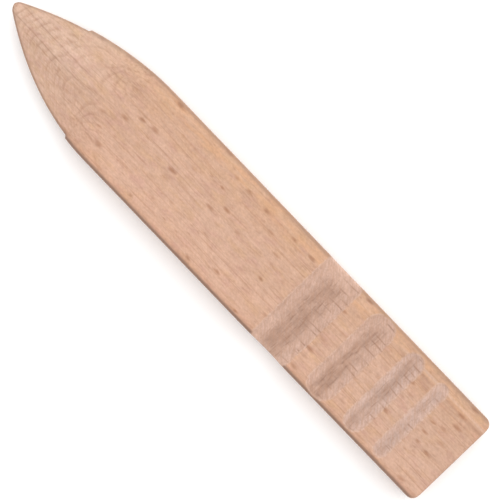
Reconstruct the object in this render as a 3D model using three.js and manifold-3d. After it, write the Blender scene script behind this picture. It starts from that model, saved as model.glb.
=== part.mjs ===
// A flat hand slicker and folder, made from one piece of unfinished beech.
// One end is a bevelled spear point for creasing and opening folds. The other
// end is cut square, and the face beside it has four round-bottomed grooves, for
// rubbing down edges of different thicknesses.
//
// Millimetres. +X runs towards the tip, +Z comes out of the grooved face, and
// the origin is under the middle of the tool, on the surface that it lies on.

import * as THREE from "three";
import { mergeVertices } from "three/addons/utils/BufferGeometryUtils.js";
import Module from "manifold-3d";

const LENGTH = 150;
const WIDTH = 26.5;
const THICKNESS = 9;

// The point's two flanks are parabolas that reach full width at their shoulders.
// Hand sanding has taken a little more off each flank near the tip, back to a
// shallow step. Every distance here is measured back from the tip.
const FLANK_PLUS_Y = { shoulder: 37.9, lead: 1.6, stepAt: 31.1, stepLength: 1.0, stepDepth: 0.57 };
const FLANK_MINUS_Y = { shoulder: 41.5, lead: 3.4, stepAt: 17.1, stepLength: 0.5, stepDepth: 0.53 };
const NOSE_RADIUS = 1.0;
const NOSE_OFFSET_Y = -0.6;
const NOSE_BLUNTNESS = 0.25; // share of the nose's width left as a flat at the very tip

// Thickness: full along the body, and thinned on both faces towards the tip.
const TAPER_LENGTH = 33;
const TAPER_POWER = 1.6;

// Section of the point: on each face two bevels meet at a soft ridge, and leave
// a thin edge. Section of the body: flat faces, upright side walls, and rounded
// long edges. One turns into the other between the two distances here.
const POINT_EDGE_THICKNESS = 0.9;
const RIDGE_POWER = 1.5; // 1 is a sharp ridge, 2 is a round one
const BEVELS_FADE_FROM = 26;
const BEVELS_END = 40;
const EDGE_ROUNDING = 1.5;
const ROUNDING_SHARE_MOST = 0.4; // the most of a narrow station's half width that is rounding

// The square end.
const CORNER_RADIUS = 2.0;
const END_EDGE_RADIUS = 0.8;

// The grooves, from the widest, made by round-nosed cutters. The widest cut runs
// right across the face. The others stop with the cutter's axis this far from
// the middle line, and so have rounded ends.
const GROOVES = [
  { fromEnd: 49.6, width: 11.4, depth: 3.1, stopAt: WIDTH },
  { fromEnd: 34.6, width: 7.65, depth: 2.0, stopAt: 9.25 },
  { fromEnd: 23.35, width: 5.5, depth: 1.37, stopAt: 9.4 },
  { fromEnd: 14.25, width: 3.7, depth: 0.88, stopAt: 9.85 },
];

// Fineness of the mesh.
const FACE_SHARES = [0.12, 0.4, 0.7, 1]; // places across a face, out to where its rounding starts
const ROUNDING_STEPS = 5;
const POINT_STATIONS = 30;
const STATION_CROWDING = 1.5; // above 1, the point's stations crowd towards the nose
const CORNER_STEPS = 6;
const GROOVE_MARGIN = 0.5; // between a groove's rim and the stations beside it
const CUTTER_SIDES = 80;
const CUTTER_END_STEPS = 16;

const HALF_WIDTH = WIDTH / 2;
const HALF_THICKNESS = THICKNESS / 2;
const HALF_POINT_EDGE = POINT_EDGE_THICKNESS / 2;
const TIP_X = LENGTH / 2;
const QUARTER_POINTS = FACE_SHARES.length + ROUNDING_STEPS;
const { lerp, smoothstep } = THREE.MathUtils;

const quarterArc = (distance, radius) => {
  const inside = Math.min(distance / radius, 1);
  return Math.sqrt(1 - (1 - inside) ** 2);
};

// How far a flank stands from the middle line, a distance back from the tip.
function flankWidth(flank, back) {
  const along = Math.min((back + flank.lead) / (flank.shoulder + flank.lead), 1);
  const full = HALF_WIDTH * (1 - (1 - along) ** 2);
  const halfStep = flank.stepLength / 2;
  const beyond = smoothstep(back, flank.stepAt - halfStep, flank.stepAt + halfStep);
  return full - flank.stepDepth * (1 - beyond);
}

// One station of the body: where its two sides are, its half thickness, half the
// height of its side walls, and how much its faces are flat and not bevelled.
function stationAt(back) {
  const nose = Math.max(quarterArc(back, NOSE_RADIUS), NOSE_BLUNTNESS);
  const fromEnd = LENGTH - back;
  const cornerInset = CORNER_RADIUS * (1 - quarterArc(fromEnd, CORNER_RADIUS));
  const side = (flank, sign) => {
    const outline = flankWidth(flank, back) * sign;
    return NOSE_OFFSET_Y + (outline - NOSE_OFFSET_Y) * nose - cornerInset * sign;
  };
  const thinning = Math.max(1 - back / TAPER_LENGTH, 0) ** TAPER_POWER;
  const endInset = END_EDGE_RADIUS * (1 - quarterArc(fromEnd, END_EDGE_RADIUS));
  const flatness = smoothstep(back, BEVELS_FADE_FROM, BEVELS_END);
  return {
    x: TIP_X - back,
    plusY: side(FLANK_PLUS_Y, 1),
    minusY: side(FLANK_MINUS_Y, -1),
    halfThickness: lerp(HALF_THICKNESS, HALF_POINT_EDGE, thinning) - endInset,
    halfWall: lerp(HALF_POINT_EDGE, HALF_THICKNESS - EDGE_ROUNDING, flatness),
    flatness,
  };
}

// Stations are close together at the nose, at the two steps and at the square
// end. The rest of the body is straight, and has one on each side of a groove.
function stationList() {
  const backs = [];
  for (let i = 0; i <= POINT_STATIONS; i += 1) {
    backs.push(FLANK_MINUS_Y.shoulder * (i / POINT_STATIONS) ** STATION_CROWDING);
  }
  for (const flank of [FLANK_PLUS_Y, FLANK_MINUS_Y]) {
    backs.push(flank.stepAt - flank.stepLength / 2, flank.stepAt + flank.stepLength / 2);
  }
  for (const { fromEnd, width } of GROOVES) {
    const reach = width / 2 + GROOVE_MARGIN;
    backs.push(LENGTH - fromEnd - reach, LENGTH - fromEnd + reach);
  }
  for (let i = 0; i <= CORNER_STEPS; i += 1) {
    backs.push(LENGTH - CORNER_RADIUS * (1 - Math.cos((i / CORNER_STEPS) * (Math.PI / 2))));
  }
  return backs.sort((a, b) => a - b).map(stationAt);
}

// How far out a place is on a face, as a share of the half width, and how much
// of the fall to the side wall has happened there. The first places are on the
// face, and the last ones run round the long edge.
function placeOnFace(station, reach, step) {
  const rounding = Math.min(EDGE_ROUNDING / reach, ROUNDING_SHARE_MOST);
  const roundingStep = step - FACE_SHARES.length + 1;
  const turn = Math.max(roundingStep / ROUNDING_STEPS, 0) * (Math.PI / 2);
  const face = roundingStep < 0 ? FACE_SHARES[step] : 1;
  const across = (1 - rounding) * face + rounding * Math.sin(turn);
  return { across, fall: lerp(across ** RIDGE_POWER, 1 - Math.cos(turn), station.flatness) };
}

// A point of a station's outline. The outline has four quarters, each from a side
// wall to the middle of a face, and turns from +Y through +Z.
function outlinePoint(station, index) {
  const quarter = Math.floor(index / QUARTER_POINTS);
  const within = index % QUARTER_POINTS;
  const step = quarter % 2 === 0 ? QUARTER_POINTS - 1 - within : within;
  const side = quarter === 0 || quarter === 3 ? station.plusY : station.minusY;
  const middle = (station.plusY + station.minusY) / 2;
  const { across, fall } = placeOnFace(station, Math.abs(side - middle), step);
  const rise = lerp(station.halfThickness, station.halfWall, fall);
  const z = HALF_THICKNESS + (quarter < 2 ? rise : -rise);
  return new THREE.Vector3(station.x, lerp(middle, side, across), z);
}

// The uncut body: a closed cylinder along the tool, whose rows become stations
// and whose angles become places round the outline.
function blankGeometry() {
  const stations = stationList();
  const sides = 4 * QUARTER_POINTS;
  const rows = stations.length - 1;
  const geometry = new THREE.CylinderGeometry(1, 1, 1, sides, rows);
  const place = geometry.attributes.position;
  for (let i = 0; i < place.count; i += 1) {
    const station = stations[Math.round((0.5 - place.getY(i)) * rows)];
    const onAxis = Math.hypot(place.getX(i), place.getZ(i)) < 0.5;
    if (onAxis) {
      place.setXYZ(i, station.x, (station.plusY + station.minusY) / 2, HALF_THICKNESS);
      continue;
    }
    const turn = Math.atan2(place.getX(i), place.getZ(i)) / (2 * Math.PI);
    const point = outlinePoint(station, (Math.round(turn * sides) + sides) % sides);
    place.setXYZ(i, point.x, point.y, point.z);
  }
  return geometry;
}

// A round-nosed cutter's path across the tool: a capsule lying across it, sized
// so that it leaves the groove's width and depth in the top face.
function cutterGeometry({ fromEnd, width, depth, stopAt }) {
  const radius = ((width / 2) ** 2 + depth ** 2) / (2 * depth);
  const cutter = new THREE.CapsuleGeometry(radius, 2 * stopAt, CUTTER_END_STEPS, CUTTER_SIDES);
  cutter.translate(fromEnd - LENGTH / 2, 0, THICKNESS - depth + radius);
  return cutter;
}

function toSolid(wasm, geometry) {
  const plain = geometry.clone();
  plain.deleteAttribute("normal");
  plain.deleteAttribute("uv");
  const merged = mergeVertices(plain);
  return new wasm.Manifold(
    new wasm.Mesh({
      numProp: 3,
      vertProperties: new Float32Array(merged.attributes.position.array),
      triVerts: new Uint32Array(merged.index.array),
    }),
  );
}

function toGeometry(solid) {
  const cut = solid.getMesh();
  const geometry = new THREE.BufferGeometry();
  geometry.setAttribute("position", new THREE.BufferAttribute(cut.vertProperties, 3));
  geometry.setIndex(new THREE.BufferAttribute(cut.triVerts, 1));
  geometry.computeVertexNormals();
  return geometry;
}

const wasm = await Module();
wasm.setup();

let solid = toSolid(wasm, blankGeometry());
for (const groove of GROOVES) {
  solid = solid.subtract(toSolid(wasm, cutterGeometry(groove)));
}

const beech = new THREE.MeshStandardMaterial({ color: 0xd9af96, roughness: 0.62, metalness: 0 });
const body = new THREE.Mesh(toGeometry(solid), beech);
body.name = "slicker_body";

const slicker = new THREE.Group();
slicker.add(body);

export default slicker;
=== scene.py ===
"""A flat beech slicker and folder, lying on a pale table with its grooves up.

The body replaces the plain CAD solid with a finer mesh of the same shape. It
adds softened groove rims, slightly worn sides and the slight unevenness of hand
sanding. Lengths are millimetres, with +X towards the tip.
"""

import bpy
import numpy as np
from mathutils import Matrix, Vector


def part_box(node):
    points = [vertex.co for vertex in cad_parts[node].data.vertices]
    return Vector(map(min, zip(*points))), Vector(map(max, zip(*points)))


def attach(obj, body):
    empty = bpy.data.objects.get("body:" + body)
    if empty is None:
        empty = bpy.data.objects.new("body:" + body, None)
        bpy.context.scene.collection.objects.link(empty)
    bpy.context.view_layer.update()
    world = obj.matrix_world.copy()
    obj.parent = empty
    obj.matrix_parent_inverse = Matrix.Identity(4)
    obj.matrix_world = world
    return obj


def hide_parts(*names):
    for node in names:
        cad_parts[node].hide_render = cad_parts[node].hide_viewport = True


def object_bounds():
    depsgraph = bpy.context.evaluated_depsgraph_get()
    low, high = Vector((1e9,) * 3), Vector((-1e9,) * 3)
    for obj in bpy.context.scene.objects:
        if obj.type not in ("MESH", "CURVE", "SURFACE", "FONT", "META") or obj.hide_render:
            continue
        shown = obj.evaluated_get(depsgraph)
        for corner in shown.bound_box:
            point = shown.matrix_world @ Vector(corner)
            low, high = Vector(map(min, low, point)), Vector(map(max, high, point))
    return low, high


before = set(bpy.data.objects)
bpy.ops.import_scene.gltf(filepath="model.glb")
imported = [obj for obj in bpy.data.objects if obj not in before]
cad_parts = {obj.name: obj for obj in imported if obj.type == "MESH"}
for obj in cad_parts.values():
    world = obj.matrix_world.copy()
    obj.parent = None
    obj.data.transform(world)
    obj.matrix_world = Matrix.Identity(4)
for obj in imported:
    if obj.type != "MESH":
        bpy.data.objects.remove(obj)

MM = 0.001
SEED = 41
CAD_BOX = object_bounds()
LOW, HIGH = (np.array(corner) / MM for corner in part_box("slicker_body"))
LENGTH, WIDTH, THICKNESS = HIGH - LOW
HALF_WIDTH = WIDTH / 2
MIDDLE_Z = THICKNESS / 2

# The outline, repeated from the CAD source. Distances are back from the tip.
PLUS_Y = {"shoulder": 37.9, "lead": 1.6, "step_at": 31.1, "step_length": 1.0, "step_depth": 0.57}
MINUS_Y = {"shoulder": 41.5, "lead": 3.4, "step_at": 17.1, "step_length": 0.5, "step_depth": 0.53}
NOSE_RADIUS = 1.0
NOSE_Y = -0.6
NOSE_BLUNTNESS = 0.25
CORNER_RADIUS = 2.0
END_EDGE_RADIUS = 0.8

# The thickness and the section, repeated from the CAD source.
TAPER_LENGTH = 33.0
TAPER_POWER = 1.6
HALF_POINT_EDGE = 0.45
RIDGE_POWER = 1.5
BEVELS_FADE_FROM = 26.0
BEVELS_END = 40.0
EDGE_ROUNDING = 1.5
ROUNDING_SHARE_MOST = 0.4

# The grooves, repeated from the CAD source, with how dark each middle is: partly handling stain, partly
# painted shade.
GROOVES = [
    {"from_end": 49.6, "width": 11.4, "depth": 3.1, "stop_at": WIDTH, "dark": 1.0},
    {"from_end": 34.6, "width": 7.65, "depth": 2.0, "stop_at": 9.25, "dark": 0.9},
    {"from_end": 23.35, "width": 5.5, "depth": 1.37, "stop_at": 9.4, "dark": 0.75},
    {"from_end": 14.25, "width": 3.7, "depth": 0.88, "stop_at": 9.85, "dark": 0.5},
]
RIM_SOFTNESS = 0.45
EXIT_ROUNDING = 0.8
WOBBLE_DEPTH = 0.07
WOBBLE_LENGTH = WIDTH / 2
WOBBLE_WAVES = 3
CLEAR_HEIGHT = 2 * THICKNESS  # stands for no groove here
FULLY_CUT = 0.4  # how far below the uncut face the wood counts as all groove

# A groove's dark middle, partly handling stain and partly painted shade. It fades over shares of the
# groove's half width, and over distances in from the two sides of the body.
DARK_SHARE = (0.2, 0.8)
DARK_FROM_MINUS_Y = (0.4, 6.0)
DARK_FROM_PLUS_Y = (-1.0, 1.5)

# Wear: the +Y side narrows a little towards the square end, and dips at the widest groove.
SIDE_NARROWING = 0.19
NARROWING_FROM = 80.0
DIP_DEPTH = 0.12
DIP_LENGTH = 4.5

# The unevenness left by hand sanding, which fades out by the sides.
SANDING_DEPTH = 0.03
SANDING_LENGTH = 16.0
SANDING_WAVES = 7
SANDING_FADE = 2.0
WAVE_LENGTH_SPREAD = (0.7, 1.6)

# The long edges, darkened partly by handling and partly as painted shade, most on the +Y side,
# which faces away from the lamp: how much and how far in, on the +Y side and on the -Y side.
# They are fainter along the point, right by a side wall, and at the square end.
EDGE_DARKENED = (1.0, 0.53)
EDGE_REACH = (1.15, 1.5)
EDGE_FULL_INSET = 0.2
POINT_EDGE_DARKENED = 0.75
POINT_EDGE_REACH = 0.7
STEP_FADE = 0.5
EDGE_AT_WALL = 0.45
WALL_FADE = 0.3
EDGE_AT_END = 0.25
END_FADE = (0.2, CORNER_RADIUS)
UNDER_EDGE_DARKENED = 0.6
UNDER_EDGE_REACH = 1.2
UNDER_EDGE_AT_WALL = 0.6

# Where stations start to be spaced by a new amount: (distance back, spacing).
STATION_SPACING = [
    (0.0, 0.12),
    (3.0, 0.45),
    (16.5, 0.1),
    (17.7, 0.45),
    (30.4, 0.12),
    (31.8, 0.5),
    (42.0, 1.25),
    (92.0, 0.16),
    (139.0, 0.6),
    (147.4, 0.1),
]
TOP_SPLITS = (44, 9)  # of the face and of the rounding, on each side of the middle
UNDERSIDE_SPLITS = (10, 7)
WALL_SPLITS = 5
CAP_RINGS = (0.985, 0.93, 0.7, 0.35)

# The values that the material reads, as they are all over a side wall: how much the wood is
# cut by a groove, dark in its middle, and part of its rim; how much it is a dark long edge, partly
# painted shade, and a side wall; and how much it faces the tip.
WALL_VALUES = {"cut": 0.0, "dark": 0.0, "rim": 0.0, "edge": 0.3, "wall": 1.0, "facing": 0.0}
WALL_REACH = 0.7  # how far in from a side wall its look carries on round the edge

# The view: straight down, turned so that the tip is at the upper left.
VIEW_TURN = np.radians(-133.8)
VIEW_OFFSET = (-5.7, -0.4)
VIEW_WIDTH = 117.55
CAMERA_HEIGHT = 600.0
SENSOR = 36.0
CLIP = (0.01, 20.0)  # in metres

# The light: a plain white world, and one large lamp. Lengths in metres, power in watts.
WORLD_LIGHT = 1.1
KEY_PLACE = (-0.1, -0.6, 0.92)
KEY_SIZE = 2.0
KEY_POWER = 6.5
TOP_LIGHT = 1.36  # what colours are divided by, so that they look as given on the lit top face

FLOOR_HALF_SIZE = 4.0  # in metres
FLOOR_WHITE = (0.98, 0.98, 0.98, 1)
FLOOR_ROUGHNESS = 0.9


def smoothstep(value, low, high):
    share = np.clip((value - low) / (high - low), 0, 1)
    return share * share * (3 - 2 * share)


def lerp(first, second, share):
    return first + (second - first) * share


def quarter_arc(distance, radius):
    """The height of a quarter circle, as a share of its radius."""
    left = 1 - np.clip(distance / radius, 0, 1)
    return np.sqrt(1 - left**2)


def smooth_min(first, second, softness):
    """The lower of two heights, rounded where they meet, and how near they are to meeting."""
    share = np.clip(0.5 + 0.5 * (second - first) / softness, 0, 1)
    blend = share * (1 - share)
    return lerp(second, first, share) - softness * blend, 4 * blend


def waves(rng, x, y, length, count):
    """A smooth random field from 0 to 1, with bumps about one length apart."""
    field = np.zeros(np.broadcast(x, y).shape)
    for _ in range(count):
        heading = rng.uniform(0, 2 * np.pi)
        rate = 2 * np.pi / (length * rng.uniform(*WAVE_LENGTH_SPREAD))
        phase = rng.uniform(0, 2 * np.pi)
        field += np.sin(rate * (x * np.cos(heading) + y * np.sin(heading)) + phase)
    return (field - field.min()) / np.ptp(field)


def station_backs():
    """Distances back from the tip, close together where the shape changes quickly."""
    stops = [start for start, _ in STATION_SPACING[1:]] + [LENGTH]
    backs = []
    for (start, spacing), stop in zip(STATION_SPACING, stops):
        count = int(np.ceil((stop - start) / spacing))
        backs.extend(np.linspace(start, stop, count, endpoint=False))
    return np.array(backs + [LENGTH])


def flank(side, back):
    """How far a side stands from the middle line."""
    along = np.minimum((back + side["lead"]) / (side["shoulder"] + side["lead"]), 1)
    full = HALF_WIDTH * (1 - (1 - along) ** 2)
    half_step = side["step_length"] / 2
    beyond = smoothstep(back, side["step_at"] - half_step, side["step_at"] + half_step)
    return full - side["step_depth"] * (1 - beyond)


def side_wear(back):
    """How much has been worn from the +Y side."""
    narrowing = SIDE_NARROWING * smoothstep(back, NARROWING_FROM, LENGTH)
    from_dip = back - (LENGTH - GROOVES[0]["from_end"])
    return narrowing + DIP_DEPTH * np.exp(-((from_dip / DIP_LENGTH) ** 2))


def outline(back):
    """The y of the two sides at each station."""
    nose = np.maximum(quarter_arc(back, NOSE_RADIUS), NOSE_BLUNTNESS)
    inset = CORNER_RADIUS * (1 - quarter_arc(LENGTH - back, CORNER_RADIUS))
    plus = NOSE_Y + (flank(PLUS_Y, back) - side_wear(back) - NOSE_Y) * nose - inset
    minus = NOSE_Y + (-flank(MINUS_Y, back) - NOSE_Y) * nose + inset
    return plus, minus


def places_across(splits):
    """A face's places from the +Y side to the -Y side.

    Each has its share of the way out over the face, its turn round the rounding,
    and the sign of its side.
    """
    face_splits, rounding_splits = splits
    face = np.concatenate([np.ones(rounding_splits), np.linspace(1, 0, face_splits + 1)])
    turn = np.concatenate([np.linspace(np.pi / 2, 0, rounding_splits + 1), np.zeros(face_splits)])
    side = np.concatenate([np.ones(len(face)), -np.ones(len(face) - 1)])
    face, turn = (np.concatenate([part, part[-2::-1]])[None, :] for part in (face, turn))
    return face, turn, side[None, :]


def section(back, plus, minus, splits):
    """One face's points from the +Y side to the -Y side: y, height above the middle, inset."""
    face, turn, side = places_across(splits)
    reach = (plus - minus) / 2
    rounding = np.minimum(EDGE_ROUNDING / reach, ROUNDING_SHARE_MOST)
    across = (1 - rounding) * face + rounding * np.sin(turn)
    flatness = smoothstep(back, BEVELS_FADE_FROM, BEVELS_END)
    thinning = np.maximum(1 - back / TAPER_LENGTH, 0) ** TAPER_POWER
    end_inset = END_EDGE_RADIUS * (1 - quarter_arc(LENGTH - back, END_EDGE_RADIUS))
    crest = lerp(MIDDLE_Z, HALF_POINT_EDGE, thinning) - end_inset
    wall = lerp(HALF_POINT_EDGE, MIDDLE_Z - EDGE_ROUNDING, flatness)
    fall = lerp(across**RIDGE_POWER, 1 - np.cos(turn), flatness)
    y = (plus + minus) / 2 + side * reach * across
    return y, lerp(crest, wall, fall), reach * (1 - across)


def groove_height(rng, x, y):
    """The height of the lowest groove surface, and how dark it is there: partly handling stain, partly
    painted shade.
    """
    height = np.full(np.broadcast(x, y).shape, CLEAR_HEIGHT)
    dark = np.zeros_like(height)
    from_minus_y = smoothstep(HALF_WIDTH + y, *DARK_FROM_MINUS_Y)
    from_sides = from_minus_y * smoothstep(HALF_WIDTH - y, *DARK_FROM_PLUS_Y)
    for groove in GROOVES:
        radius = ((groove["width"] / 2) ** 2 + groove["depth"] ** 2) / (2 * groove["depth"])
        wobble = WOBBLE_DEPTH * (waves(rng, 0 * x, y, WOBBLE_LENGTH, WOBBLE_WAVES) - 0.5)
        off_axis = x - (LOW[0] + groove["from_end"]) - wobble
        past_stop = np.maximum(np.abs(y) - groove["stop_at"], 0)
        away = np.hypot(off_axis, past_stop)
        lift = radius - np.sqrt(np.maximum(radius**2 - away**2, 0))
        cut = THICKNESS - groove["depth"] + lift
        height = np.where(away < radius, np.minimum(height, cut), height)
        share = np.abs(off_axis) / (groove["width"] / 2)
        here = groove["dark"] * (1 - smoothstep(share, *DARK_SHARE)) * from_sides
        dark = np.maximum(dark, here)
    return height, dark


def facing_tip(x, z, sign):
    """How much a surface faces the tip: the x of its normal."""
    slope = -sign * np.gradient(z, x[:, 0], axis=0)
    return slope / np.sqrt(1 + slope**2)


def edge_grime_and_shade(back, y, inset):
    """How dark the long edges of the grooved face are: partly handling grime, partly painted shade."""
    step_at = np.where(y > 0, PLUS_Y["step_at"], MINUS_Y["step_at"])
    past_step = smoothstep(back, step_at - STEP_FADE, step_at + STEP_FADE)
    darkened = lerp(POINT_EDGE_DARKENED, 1.0, past_step) * np.where(y > 0, *EDGE_DARKENED)
    reach = lerp(POINT_EDGE_REACH, np.where(y > 0, *EDGE_REACH), past_step)
    by_wall = lerp(EDGE_AT_WALL, 1.0, smoothstep(inset, 0, WALL_FADE))
    by_end = lerp(EDGE_AT_END, 1.0, smoothstep(LENGTH - back, *END_FADE))
    return smoothstep(inset, reach, EDGE_FULL_INSET) * darkened * by_wall * by_end


def top_surface(rng, back, plus, minus):
    """The grooved face: its points, and the values that its material reads."""
    y, rise, inset = section(back, plus, minus, TOP_SPLITS)
    x = HIGH[0] - back
    bumps = waves(rng, x, y, SANDING_LENGTH, SANDING_WAVES)
    uncut = MIDDLE_Z + rise - SANDING_DEPTH * bumps * smoothstep(inset, 0, SANDING_FADE)
    groove, dark = groove_height(rng, x, y)
    exit_drop = EXIT_ROUNDING * (1 - quarter_arc(inset, EXIT_ROUNDING))
    z, rim = smooth_min(uncut, groove - exit_drop, RIM_SOFTNESS)
    cut = np.clip((uncut - z) / FULLY_CUT, 0, 1)
    values = {
        "cut": cut,
        "dark": dark * cut,
        "rim": rim,
        "edge": edge_grime_and_shade(back, y, inset) * (1 - cut),
        "wall": smoothstep(inset, WALL_REACH, 0),
        "facing": facing_tip(x, z, 1),
    }
    return np.dstack(np.broadcast_arrays(x, y, z)), values


def underside(back, plus, minus):
    """The resting face, from the -Y side to the +Y side."""
    y, rise, inset = (part[:, ::-1] for part in section(back, plus, minus, UNDERSIDE_SPLITS))
    x = HIGH[0] - back
    z = MIDDLE_Z - rise
    none = np.zeros_like(z)
    by_wall = lerp(UNDER_EDGE_AT_WALL, 1.0, smoothstep(inset, 0, WALL_FADE))
    from_edge = smoothstep(inset, UNDER_EDGE_REACH, EDGE_FULL_INSET)
    values = {
        "cut": none,
        "dark": none,
        "rim": none,
        # Darkened like the grooved face's long edges: partly handling grime, partly painted shade.
        "edge": UNDER_EDGE_DARKENED * from_edge * by_wall,
        "wall": smoothstep(inset, WALL_REACH, 0),
        "facing": facing_tip(x, z, -1),
    }
    return np.dstack(np.broadcast_arrays(x, y, z)), values


def side_wall(first, last):
    """The points strictly between two edges of the body, and the values on a side wall."""
    shares = np.arange(1, WALL_SPLITS)[None, :, None] / WALL_SPLITS
    points = lerp(first[:, None, :], last[:, None, :], shares)
    values = {name: np.full(points.shape[:2], value) for name, value in WALL_VALUES.items()}
    return points, values


def tube_faces(rows, sides):
    """Quads between neighbouring rows of a closed loop, facing outward."""
    row = np.arange(rows - 1)[:, None] * sides
    side = np.arange(sides)[None, :]
    following = (side + 1) % sides
    corners = (row + side, row + sides + side, row + sides + following, row + following)
    return np.stack(corners, axis=-1).reshape(-1, 4)


def add_cap(points, values, loop, outward_x):
    """Adds the points that close one end, in rings that shrink to a centre.

    Returns the index of the first of them.
    """
    centre = loop.mean(axis=0)
    first = sum(len(block) for block in points)
    for scale in CAP_RINGS:
        points.append(centre + (loop - centre) * scale)
    points.append(centre[None, :])
    added = len(loop) * len(CAP_RINGS) + 1
    for name, blocks in values.items():
        blocks.append(np.full(added, outward_x if name == "facing" else 0.0))
    return first


def cap_faces(outer, first, sides, reverse):
    """Faces from an end loop, whose first index is outer, in to the cap's centre."""
    starts = [outer] + [first + ring * sides for ring in range(len(CAP_RINGS))]
    centre = first + sides * len(CAP_RINGS)
    faces = []
    for outside, inside in zip(starts, starts[1:]):
        for side in range(sides):
            after = (side + 1) % sides
            faces.append([outside + side, inside + side, inside + after, outside + after])
    for side in range(sides):
        faces.append([starts[-1] + side, centre, starts[-1] + (side + 1) % sides])
    return [face[::-1] for face in faces] if reverse else faces


def body_surfaces():
    """The four surfaces of the body's length, in order round it from the grooved face."""
    rng = np.random.default_rng(SEED)
    back = station_backs()[:, None]
    plus, minus = outline(back)
    top = top_surface(rng, back, plus, minus)
    under = underside(back, plus, minus)
    minus_wall = side_wall(top[0][:, -1], under[0][:, 0])
    plus_wall = side_wall(under[0][:, -1], top[0][:, 0])
    return [top, minus_wall, under, plus_wall]


def join_surfaces(surfaces):
    """The surfaces as closed loops of points, one loop to a station, and their values."""
    loops = np.concatenate([points for points, _ in surfaces], axis=1)
    values = {
        name: [np.concatenate([surface[name] for _, surface in surfaces], axis=1).ravel()]
        for name in WALL_VALUES
    }
    return loops, values


def body_mesh():
    """The whole body as one closed mesh, with the values that its material reads."""
    loops, values = join_surfaces(body_surfaces())
    rows, sides = loops.shape[:2]
    points = [loops.reshape(-1, 3)]
    faces = tube_faces(rows, sides).tolist()
    nose = add_cap(points, values, loops[0], 1.0)
    faces += cap_faces(0, nose, sides, reverse=True)
    square = add_cap(points, values, loops[-1], -1.0)
    faces += cap_faces((rows - 1) * sides, square, sides, reverse=False)
    mesh = bpy.data.meshes.new("slicker")
    mesh.from_pydata((np.concatenate(points) * MM).tolist(), [], faces)
    for name, blocks in values.items():
        layer = mesh.attributes.new(name, "FLOAT", "POINT")
        layer.data.foreach_set("value", np.concatenate(blocks).astype(np.float32))
    mesh.shade_smooth()
    return mesh


def seen(red, green, blue):
    """A colour given as it looks on the lit top face, in 0 to 255 display values (sRGB)."""
    display = np.array([red, green, blue]) / 255
    linear = np.where(display <= 0.04045, display / 12.92, ((display + 0.055) / 1.055) ** 2.4)
    return (*(linear / TOP_LIGHT).tolist(), 1.0)


BEECH = seen(218, 175, 148)
BEECH_PALE = seen(227, 185, 160)
BEECH_DEEP = seen(194, 148, 119)
OCHRE = seen(221, 176, 138)
ROSE = seen(214, 167, 148)
EDGE_WARM = seen(230, 176, 135)
FLECK = seen(176, 126, 94)
LATEWOOD = seen(178, 132, 106)
LINE = seen(156, 116, 94)
GROOVE_PALE = seen(233, 197, 178)
# A groove's dark middle: partly handling stain, partly painted shade.
GROOVE_STAIN_AND_SHADE = seen(191, 155, 135)
GROOVE_SCRATCH = seen(160, 124, 104)
# On the groove rims this pale is partly worn fibres, partly a painted highlight.
RIM_PALE = seen(236, 203, 184)
# The dark long edges and side walls: partly handling grime, partly painted shade.
EDGE_DARK = seen(136, 107, 92)

# The patterns in the wood. Each is a noise, whose grains are "size" long in x, y and z. Its
# values between the two in "spread" are spread out over the two in "levels", or 0 and 1.
PATTERNS = {
    "drift": {"size": (22, 9, 9), "seed": 3, "spread": (0.2, 0.8), "levels": (-0.28, 0.28)},
    "broad": {"size": (45, 8, 8), "seed": 1, "spread": (0.3, 0.7)},
    "ochre": {"size": (5, 2.4, 2.4), "seed": 5, "spread": (0.48, 0.72), "levels": (0, 0.6)},
    "rose": {"size": (4.5, 2.2, 2.2), "seed": 6, "spread": (0.48, 0.72), "levels": (0, 0.7)},
    "fibres": {"size": (3.6, 0.6, 0.6), "seed": 2, "spread": (0.45, 0.8), "levels": (0, 0.6)},
    "dark lines": {"size": (18, 0.42, 0.42), "seed": 4, "spread": (0.53, 0.68), "levels": (0, 0.55)},
    "pale lines": {"size": (16, 0.44, 0.44), "seed": 28, "spread": (0.53, 0.68), "levels": (0, 0.65)},
    "speckle": {"size": (0.8, 0.45, 0.45), "seed": 8, "spread": (0.3, 0.7), "detail": 3},
    "patches": {"size": (3.2, 1.8, 1.8), "seed": 25, "spread": (0.35, 0.65)},
    "end rays": {"size": (3, 0.22, 2.5), "seed": 27, "spread": (0.5, 0.7), "levels": (0, 0.45)},
    "ring sway": {"size": (60, 25, 8), "seed": 7, "spread": (0.25, 0.75), "levels": (-0.3, 0.3)},
    "ring breaks": {"size": (8, 3, 3), "seed": 9, "spread": (0.3, 0.6), "levels": (0.2, 1.0)},
    "ray breaks": {"size": (9, 1.3, 3), "seed": 11, "spread": (0.36, 0.62)},
    "sanding marks": {"size": (2.2, 0.32, 2.2), "seed": 15, "spread": (0.35, 0.65)},
    "warm patches": {
        "size": (7, 1.4, 3), "seed": 19, "spread": (0.38, 0.66), "levels": (0, 0.8), "detail": 3
    },
    "groove stain and shade": {
        "size": (1.1, 6.0, 3), "seed": 21, "spread": (0.3, 0.7), "levels": (0.6, 1.2), "detail": 3
    },
    "groove scratches": {"size": (0.45, 2.6, 2), "seed": 30, "spread": (0.52, 0.7), "levels": (0, 0.8)},
    "rim wear and highlight": {"size": (1.1, 0.8, 1.1), "seed": 23, "spread": (0.35, 0.7), "levels": (0, 0.75)},
}
DETAIL = 2.0  # of a noise that gives none

# The patterns that colour the beech, in the order in which they are laid on it.
TONE_LAYERS = [
    ("ochre", OCHRE),
    ("rose", ROSE),
    ("fibres", BEECH_DEEP),
    ("dark lines", BEECH_DEEP),
    ("pale lines", BEECH_PALE),
]

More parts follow.
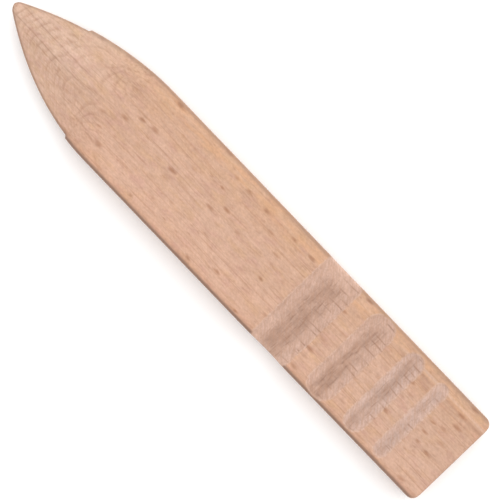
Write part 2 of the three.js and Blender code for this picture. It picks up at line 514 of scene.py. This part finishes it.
# Tints by place: the axis, where the tint starts, where it is whole, and what it multiplies by.
PLACE_TINTS = [
    ("Y", 2, 9, (1.04, 1.03, 1.03, 1.0)),  # the +Y half
    ("Y", 10.8, 12.2, (0.98, 0.93, 0.89, 1.0)),  # the +Y edge
    ("Y", -3, -7, (0.97, 0.96, 0.93, 1.0)),  # the -Y half
    ("Y", -9.2, -10.6, (1.06, 1.07, 1.04, 1.0)),  # the -Y edge
    ("X", 38, 60, (1.05, 1.135, 1.185, 1.0)),  # the point
    ("X", -36, -62, (0.95, 0.95, 0.95, 1.0)),  # the square end
]
SPECKLE_DARK = (0.92, 0.92, 0.92, 1.0)
SPECKLE_LIGHT = (1.07, 1.07, 1.07, 1.0)
PATCH_DARK = (0.9, 0.9, 0.92, 1.0)
PATCH_LIGHT = (1.08, 1.08, 1.1, 1.0)
PATCH_STRENGTH = (0.45, 0.6)  # on a face, and in a groove
END_GRAIN_TINT = (0.84, 0.82, 0.79, 1.0)

# Where the square end counts as end grain, by how much it faces away from the tip.
END_FACING = (-0.95, -0.6)
FACE_MARKS_ON_WALL = 0.15

# What fades outside the middle of a face: the distances from the middle line, and what is left.
MIDDLE_FADE = (4.5, 9)
OUTSIDE_MIDDLE = 0.25

# Growth rings: layers that bow down on both sides of the heart. A ring darkens between two
# shares of its thickness, and then ends. It shows more where the surface cuts across it.
RING_SPACING = 0.37
RING_OFFSET = 0.32
RING_BOW = 0.15
RING_BOW_POWER = 1.2
HEART_Y = -0.5
RING_STARTS = 0.45
RING_DARKEST = 0.88
RING_WALL_FACING = 0.12
RING_FACING = (0, 0.12)
RING_LEVELS = (0.06, 0.34)
RING_IN_GROOVE = 0.25

# Ray lines along the grain, one to a spacing. Their half width is a share of the spacing.
RAY_SPACING = 2.1
RAY_RANDOMNESS = 0.9
RAY_HALF_WIDTH = 0.14
RAY_FACING = (0.02, 0.2)
RAY_LEVELS = (0.1, 0.6)
POINT_RAYS_X = (46, 58)
POINT_RAYS_LEAST = 0.6

# Rings and ray lines are both stronger on the point.
GAIN_X = (44, 54)
RING_GAIN = 1.15
RAY_GAIN = 1.15

# Flecks, one to a cell. Chance makes each one smaller and fainter than its kind's most, and
# a noise of this rate and reach makes its outline ragged.
FLECK_KINDS = [
    {"cell": (7.5, 3.0), "radius": 0.27, "strength": 0.85, "seed": 1},
    {"cell": (5, 1.7), "radius": 0.2, "strength": 0.4, "seed": 2},
]
FLECK_SHIFT = (7.0, 3.0)
FLECK_SMALLEST = 0.6
FLECK_FADE = (0.1, 1.0)
FLECK_CHANCE = (0.25, 0.95)
FLECK_RAGGED_RATE = (0.5, 1.6, 1.6)
FLECK_RAGGED_REACH = (1.8, 0.3, 0.3)
FLECKS_X = (48, 42)
FLECKS_ON_POINT = 0.1

# Sanding scratches: on a face, in a groove, and over the +Y half of the point.
MARK_ANGLE = np.radians(50)
MARK_STRENGTH = (0.15, 0.38)
POINT_MARKS = 0.35
POINT_MARKS_X = (44, 52)
POINT_MARKS_Y = (-1, 3)

# The warmer band by the -Y edge: two steps of (from y, to y, strength), on the body only.
WARM_STEPS = [(0, -8, 0.25), (-8.2, -10.2, 0.5)]
WARM_X = (42, 30)

# The streaks by the square end: y, half width, strength and colour.
STREAKS = [(-10.45, 0.7, 0.35, RIM_PALE), (-9.3, 0.9, 0.35, LATEWOOD)]
STREAKS_X = (-44, -50)

# Grooves: how pale their walls are, and a tint for the two narrowest.
GROOVE_PALENESS = 0.85
NARROW_GROOVE_TINT = (0.98, 1.02, 1.07, 1.0)
NARROW_GROOVE_X = (-44, -49)

# The surface: its gloss, and its relief as noises of fibres and pores.
SPECULAR = 0.3
ROUGHNESS = (0.58, 0.72)
ROUGHNESS_SPREAD = (0.3, 0.7)
FIBRES = {"size": (4, 0.35, 0.35), "seed": 13, "detail": 3}
PORES = {"size": (0.6, 0.12, 0.12), "seed": 17, "detail": 2}
PORE_RELIEF = 0.5
MARK_RELIEF = 0.3
RELIEF_DEPTH = 0.015
RELIEF_STRENGTH = 0.8


class Graph:
    """Adds nodes to one material. Vectors are in millimetres."""

    def __init__(self, material):
        self.tree = material.node_tree
        place = self.node("ShaderNodeTexCoord", {}).outputs["Object"]
        self.place = self.stretch(place, (1 / MM,) * 3)

    def node(self, kind, inputs, **settings):
        """A new node. Each input is another node's output, or a plain value."""
        node = self.tree.nodes.new(kind)
        for name, value in settings.items():
            setattr(node, name, value)
        for key, value in inputs.items():
            socket = node.inputs[key]
            if isinstance(value, bpy.types.NodeSocket):
                self.tree.links.new(value, socket)
            else:
                socket.default_value = value
        return node

    def vector_math(self, operation, first, second):
        inputs = {0: first, 1: second}
        return self.node("ShaderNodeVectorMath", inputs, operation=operation).outputs[0]

    def stretch(self, vector, scale):
        return self.vector_math("MULTIPLY", vector, scale)

    def shift(self, vector, offset):
        return self.vector_math("ADD", vector, offset)

    def math(self, operation, first, second=0.0):
        return self.node("ShaderNodeMath", {0: first, 1: second}, operation=operation).outputs[0]

    def product(self, first, *others):
        for other in others:
            first = self.math("MULTIPLY", first, other)
        return first

    def value(self, name):
        """One of the values that the mesh carries."""
        return self.node("ShaderNodeAttribute", {}, attribute_name=name).outputs["Fac"]

    def axis(self, name, vector=None):
        return self.node("ShaderNodeSeparateXYZ", {0: vector or self.place}).outputs[name]

    def noise(self, size, seed, detail, vector=None):
        """Noise whose grains are about this size along each axis."""
        scaled = self.stretch(vector or self.place, tuple(1 / length for length in size))
        inputs = {"Vector": scaled, "W": seed, "Scale": 1.0, "Detail": detail}
        return self.node("ShaderNodeTexNoise", inputs, noise_dimensions="4D").outputs[0]

    def ramp(self, value, start, stop, first=0.0, last=1.0):
        """A smooth step from the first level, at the start, to the last one, at the stop."""
        inputs = {"Value": value, "From Min": start, "From Max": stop, "To Min": first, "To Max": last}
        return self.node("ShaderNodeMapRange", inputs, interpolation_type="SMOOTHSTEP").outputs[0]

    def pattern(self, name, vector=None):
        """One of PATTERNS, at the given places or else at the true ones."""
        pattern = PATTERNS[name]
        noise = self.noise(pattern["size"], pattern["seed"], pattern.get("detail", DETAIL), vector)
        return self.ramp(noise, *pattern["spread"], *pattern.get("levels", (0.0, 1.0)))

    def mix(self, factor, first, second, blend="MIX"):
        inputs = {0: factor, 6: first, 7: second}
        node = self.node("ShaderNodeMix", inputs, data_type="RGBA", blend_type=blend)
        return node.outputs[2]

    def tint(self, factor, colour, by):
        return self.mix(factor, colour, by, "MULTIPLY")


def fibre_place(graph):
    """Places that drift sideways a little along the grain, so that no line is ruler straight."""
    offset = graph.node("ShaderNodeCombineXYZ", {"Y": graph.pattern("drift")}).outputs[0]
    return graph.shift(graph.place, offset)


def tone(graph, place):
    """Broad slow colour changes, then patches, short fibres, and long lines along the grain."""
    colour = graph.mix(graph.pattern("broad", place), BEECH, BEECH_PALE)
    for name, layer in TONE_LAYERS:
        colour = graph.mix(graph.pattern(name, place), colour, layer)
    return colour


def places_on_body(graph, colour):
    """The wood is paler at the point and towards +Y, darker at the square end, warmer by the sides."""
    for axis, start, whole, by in PLACE_TINTS:
        colour = graph.tint(graph.ramp(graph.axis(axis), start, whole), colour, by)
    return colour


def unevenness(graph, place, colour):
    """Speckle finer than a millimetre, and soft patches of a few millimetres."""
    speckle = graph.mix(graph.pattern("speckle", place), SPECKLE_DARK, SPECKLE_LIGHT)
    colour = graph.tint(1.0, colour, speckle)
    patches = graph.mix(graph.pattern("patches", place), PATCH_DARK, PATCH_LIGHT)
    return graph.tint(graph.ramp(graph.value("cut"), 0, 1, *PATCH_STRENGTH), colour, patches)


def off_end(graph):
    """One except on the square end, where the grain is cut across."""
    return graph.ramp(graph.value("facing"), *END_FACING)


def on_faces(graph):
    """One on the two faces, low on the side walls, and zero on the square end."""
    return graph.product(off_end(graph), graph.ramp(graph.value("wall"), 0, 1, 1, FACE_MARKS_ON_WALL))


def end_grain(graph, colour):
    """The square end is darker, with fine pale ray lines that stand upright."""
    on_end = graph.math("SUBTRACT", 1.0, off_end(graph))
    colour = graph.tint(on_end, colour, END_GRAIN_TINT)
    return graph.mix(graph.product(on_end, graph.pattern("end rays")), colour, RIM_PALE)


def near_middle(graph):
    """One near the middle of a face, in grooves and on side walls, and less in between."""
    from_middle = graph.math("ABSOLUTE", graph.axis("Y"))
    middle = graph.ramp(from_middle, *MIDDLE_FADE, 1.0, OUTSIDE_MIDDLE)
    others = graph.math("MAXIMUM", graph.value("cut"), graph.value("wall"))
    return graph.math("MAXIMUM", middle, others)


def point_gain(graph, gain):
    """One on the body, and a higher gain on the point, where the bevels cut across the grain."""
    return graph.ramp(graph.axis("X"), *GAIN_X, 1.0, gain)


def ring_phase(graph, place):
    """How far through its growth ring the wood is, from 0 to 1."""
    from_heart = graph.math("ABSOLUTE", graph.math("SUBTRACT", graph.axis("Y", place), HEART_Y))
    bow = graph.product(graph.math("POWER", from_heart, RING_BOW_POWER), RING_BOW)
    bowed = graph.math("ADD", graph.axis("Z", place), bow)
    sway = graph.math("ADD", graph.pattern("ring sway", place), RING_OFFSET)
    layer = graph.math("ADD", bowed, sway)
    return graph.math("FRACT", graph.math("DIVIDE", layer, RING_SPACING))


def rings(graph, place):
    """Latewood lines: the dark edges of the growth rings."""
    phase = ring_phase(graph, place)
    rise = graph.ramp(phase, RING_STARTS, RING_DARKEST)
    fall = graph.ramp(phase, RING_DARKEST, 1.0, 1.0, 0.0)
    line = graph.product(rise, fall, graph.pattern("ring breaks", place))
    facing = graph.math("ABSOLUTE", graph.value("facing"))
    on_wall = graph.product(graph.value("wall"), RING_WALL_FACING)
    shown = graph.ramp(graph.math("MAXIMUM", facing, on_wall), *RING_FACING, *RING_LEVELS)
    in_grooves = graph.ramp(graph.value("cut"), 0, 1, 1.0, RING_IN_GROOVE)
    return graph.product(line, shown, point_gain(graph, RING_GAIN), in_grooves, near_middle(graph))


def flecks(graph, place, cell, radius, strength, seed):
    """Wood rays cut end-on: short dark spindles along the grain, one to a cell."""
    inputs = {"Vector": graph.stretch(place, FLECK_RAGGED_RATE), "Scale": 1.0}
    ragged = graph.node("ShaderNodeTexNoise", inputs).outputs["Color"]
    centred = graph.shift(ragged, (-0.5, -0.5, -0.5))
    bent = graph.shift(graph.stretch(centred, FLECK_RAGGED_REACH), place)
    shifted = graph.shift(bent, (seed * FLECK_SHIFT[0], seed * FLECK_SHIFT[1], 0.0))
    inputs = {"Vector": graph.stretch(shifted, (1 / cell[0], 1 / cell[1], 0)), "Scale": 1.0}
    cells = graph.node("ShaderNodeTexVoronoi", inputs, voronoi_dimensions="2D")
    chance = graph.node("ShaderNodeSeparateColor", {0: cells.outputs["Color"]})
    size = graph.ramp(chance.outputs["Red"], 0, 1, FLECK_SMALLEST * radius, radius)
    distance = graph.math("DIVIDE", cells.outputs["Distance"], size)
    shape = graph.ramp(distance, *FLECK_FADE, 1.0, 0.0)
    shown = graph.ramp(chance.outputs["Green"], *FLECK_CHANCE, 0.0, strength)
    off_point = graph.ramp(graph.axis("X"), *FLECKS_X, FLECKS_ON_POINT, 1)
    return graph.product(shape, shown, off_point, on_faces(graph))


def ray_lines(graph, place):
    """Thin lines along the grain, where the surface faces the tip and cuts across the rays."""
    across = graph.math("DIVIDE", graph.axis("Y", place), RAY_SPACING)
    inputs = {"W": across, "Scale": 1.0, "Randomness": RAY_RANDOMNESS}
    near = graph.node("ShaderNodeTexVoronoi", inputs, voronoi_dimensions="1D").outputs["Distance"]
    line = graph.ramp(near, 0.0, RAY_HALF_WIDTH, 1.0, 0.0)
    least = graph.ramp(graph.axis("X"), *POINT_RAYS_X, 0, POINT_RAYS_LEAST)
    broken = graph.math("MAXIMUM", graph.pattern("ray breaks", place), least)
    facing = graph.ramp(graph.value("facing"), *RAY_FACING, *RAY_LEVELS)
    return graph.product(line, broken, facing, near_middle(graph), point_gain(graph, RAY_GAIN))


def sanding_marks(graph):
    """Fine scratches that run across the grain at a slant, as a share from 0 to 1."""
    inputs = {"Vector": graph.place, "Angle": MARK_ANGLE}
    turned = graph.node("ShaderNodeVectorRotate", inputs, rotation_type="Z_AXIS").outputs[0]
    return graph.pattern("sanding marks", turned)


def mark_strength(graph):
    """Scratches show most in the grooves, and then on the +Y half of the point."""
    along = graph.ramp(graph.axis("X"), *POINT_MARKS_X)
    across = graph.ramp(graph.axis("Y"), *POINT_MARKS_Y, 0, POINT_MARKS)
    base = graph.ramp(graph.value("cut"), 0, 1, *MARK_STRENGTH)
    return graph.math("MAXIMUM", base, graph.product(along, across))


def warm_band(graph, colour):
    """Warmer wood towards the -Y edge, in patches."""
    y = graph.axis("Y")
    first, second = (graph.ramp(y, start, stop, 0, most) for start, stop, most in WARM_STEPS)
    on_body = graph.ramp(graph.axis("X"), *WARM_X)
    shown = graph.product(graph.math("ADD", first, second), on_body, graph.pattern("warm patches"))
    return graph.mix(shown, colour, EDGE_WARM)


def end_streaks(graph, colour):
    """A light and a dark streak along the grain by the -Y edge, near the square end."""
    uncut = graph.math("SUBTRACT", 1.0, graph.value("cut"))
    near_end = graph.product(graph.ramp(graph.axis("X"), *STREAKS_X), uncut, on_faces(graph))
    for streak_y, half_width, strength, streak in STREAKS:
        away = graph.math("ABSOLUTE", graph.math("SUBTRACT", graph.axis("Y"), streak_y))
        shown = graph.product(graph.ramp(away, half_width, 0, 0, strength), near_end)
        colour = graph.mix(shown, colour, streak)
    return colour


def groove_tint(graph, colour):
    """Groove walls are paler and greyer than the face, and their middles dark in uneven patches: partly
    handling stain, partly painted shade.
    """
    cut = graph.value("cut")
    dark = graph.value("dark")
    colour = graph.mix(graph.product(cut, GROOVE_PALENESS), colour, GROOVE_PALE)
    # The dark middles: partly handling stain, partly painted shade.
    colour = graph.mix(graph.product(dark, graph.pattern("groove stain and shade")), colour, GROOVE_STAIN_AND_SHADE)
    colour = graph.mix(graph.product(dark, graph.pattern("groove scratches")), colour, GROOVE_SCRATCH)
    narrow = graph.ramp(graph.axis("X"), *NARROW_GROOVE_X)
    return graph.tint(graph.product(cut, narrow), colour, NARROW_GROOVE_TINT)


def beech():
    """Unfinished, finely sanded beech, as one solid block of wood that the body is cut from."""
    material = bpy.data.materials.new("beech")
    material.use_nodes = True
    graph = Graph(material)
    place = fibre_place(graph)
    marks = sanding_marks(graph)
    colour = places_on_body(graph, tone(graph, place))
    colour = end_streaks(graph, warm_band(graph, colour))
    colour = graph.mix(rings(graph, place), colour, LATEWOOD)
    large, small = (flecks(graph, place, **kind) for kind in FLECK_KINDS)
    colour = graph.mix(graph.math("MAXIMUM", large, small), colour, FLECK)
    colour = end_grain(graph, groove_tint(graph, colour))
    colour = unevenness(graph, place, colour)
    colour = graph.mix(ray_lines(graph, place), colour, LINE)
    # Pale groove rims: partly worn fibres, partly a painted highlight where the rims catch the light.
    worn = graph.product(graph.value("rim"), graph.pattern("rim wear and highlight"))
    colour = graph.mix(worn, colour, RIM_PALE)
    # The dark long edges and side walls: partly handling grime, partly painted shade.
    colour = graph.mix(graph.value("edge"), colour, EDGE_DARK)
    colour = graph.mix(graph.product(marks, mark_strength(graph)), colour, BEECH_DEEP)
    finish(graph, place, marks, colour)
    return material


def finish(graph, place, marks, colour):
    """Colour, roughness and the fine relief of sanded fibres, pores and scratches."""
    grain = graph.noise(**FIBRES, vector=place)
    pores = graph.noise(**PORES, vector=place)
    relief = graph.math("ADD", grain, graph.product(pores, PORE_RELIEF))
    relief = graph.math("ADD", relief, graph.product(marks, MARK_RELIEF))
    inputs = {"Height": relief, "Distance": RELIEF_DEPTH * MM, "Strength": RELIEF_STRENGTH}
    bump = graph.node("ShaderNodeBump", inputs)
    shader = graph.tree.nodes["Principled BSDF"]
    shader.inputs["Specular IOR Level"].default_value = SPECULAR
    graph.tree.links.new(colour, shader.inputs["Base Color"])
    roughness = graph.ramp(grain, *ROUGHNESS_SPREAD, *ROUGHNESS)
    graph.tree.links.new(roughness, shader.inputs["Roughness"])
    graph.tree.links.new(bump.outputs[0], shader.inputs["Normal"])


def add_body():
    body = bpy.data.objects.new("beech_slicker", body_mesh())
    bpy.context.scene.collection.objects.link(body)
    body.data.materials.append(beech())
    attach(body, "root")
    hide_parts("slicker_body")


def add_floor():
    half = FLOOR_HALF_SIZE
    corners = [(-half, -half, 0), (half, -half, 0), (half, half, 0), (-half, half, 0)]
    mesh = bpy.data.meshes.new("floor")
    mesh.from_pydata(corners, [], [(0, 1, 2, 3)])
    material = bpy.data.materials.new("floor_white")
    material.use_nodes = True
    shader = material.node_tree.nodes["Principled BSDF"]
    shader.inputs["Base Color"].default_value = FLOOR_WHITE
    shader.inputs["Roughness"].default_value = FLOOR_ROUGHNESS
    shader.inputs["Specular IOR Level"].default_value = 0.0
    mesh.materials.append(material)
    floor = bpy.data.objects.new("floor", mesh)
    bpy.context.scene.collection.objects.link(floor)


def add_world():
    """Even white surroundings."""
    world = bpy.data.worlds.new("studio")
    world.use_nodes = True
    background = world.node_tree.nodes["Background"]
    background.inputs["Color"].default_value = (1, 1, 1, 1)
    background.inputs["Strength"].default_value = WORLD_LIGHT
    bpy.context.scene.world = world


def add_key_light():
    """One large soft lamp on the -Y side, aimed at the tool."""
    light = bpy.data.lights.new("key", "AREA")
    light.shape = "DISK"
    light.size = KEY_SIZE
    light.energy = KEY_POWER
    lamp = bpy.data.objects.new("key", light)
    lamp.location = KEY_PLACE
    lamp.visible_camera = False
    lamp.rotation_euler = (-Vector(KEY_PLACE)).to_track_quat("-Z", "Y").to_euler()
    bpy.context.scene.collection.objects.link(lamp)


def add_camera():
    target = Vector(((CAD_BOX[0] + CAD_BOX[1]) / 2)) + Vector((*VIEW_OFFSET, 0)) * MM
    camera = bpy.data.cameras.new("camera")
    camera.sensor_width = SENSOR
    camera.lens = SENSOR * CAMERA_HEIGHT / VIEW_WIDTH
    camera.clip_start, camera.clip_end = CLIP
    viewer = bpy.data.objects.new("camera", camera)
    place = Vector((target.x, target.y, (THICKNESS + CAMERA_HEIGHT) * MM))
    viewer.matrix_world = Matrix.Translation(place) @ Matrix.Rotation(VIEW_TURN, 4, "Z")
    bpy.context.scene.collection.objects.link(viewer)
    bpy.context.scene.camera = viewer


add_camera()
add_floor()
add_world()
add_key_light()
add_body()
bpy.context.scene.view_settings.view_transform = "Standard"
